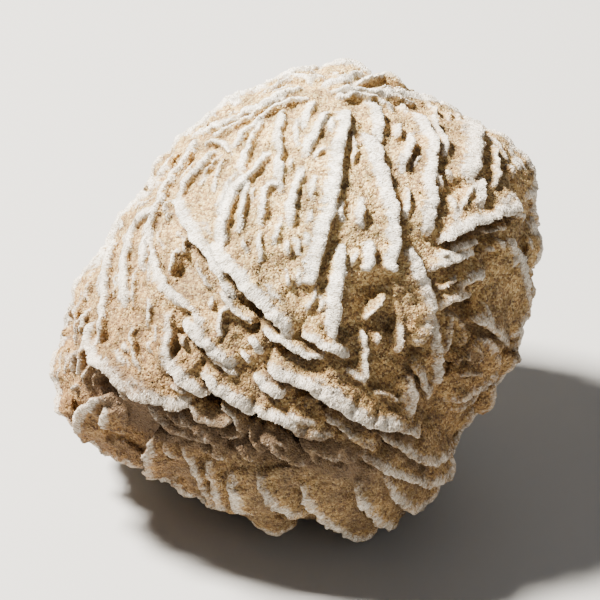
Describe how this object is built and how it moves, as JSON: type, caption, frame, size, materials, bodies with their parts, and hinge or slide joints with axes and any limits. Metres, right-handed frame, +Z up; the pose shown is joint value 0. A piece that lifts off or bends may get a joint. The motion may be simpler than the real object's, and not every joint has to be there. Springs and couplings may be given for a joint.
{
  "type": "gypsum sand rose",
  "caption": "Rounded desert rose of thin gypsum blades grown through each other in tan sand, pale worn rims over sandy hollows, resting on a flat base",
  "frame": {"origin": "middle of the resting face, under the middle of the bounding box", "axes": "+Z up, +X to the right and -Y to the front of the rose, whose main fan of blades falls from its top down that side"},
  "size_m": [0.089, 0.0818, 0.0788],
  "materials": {
    "gypsum": "matt sandy crust with pale worn blade rims"
  },
  "bodies": {
    "root": {"sand_rose": "gypsum"}
  },
  "joints": []
}
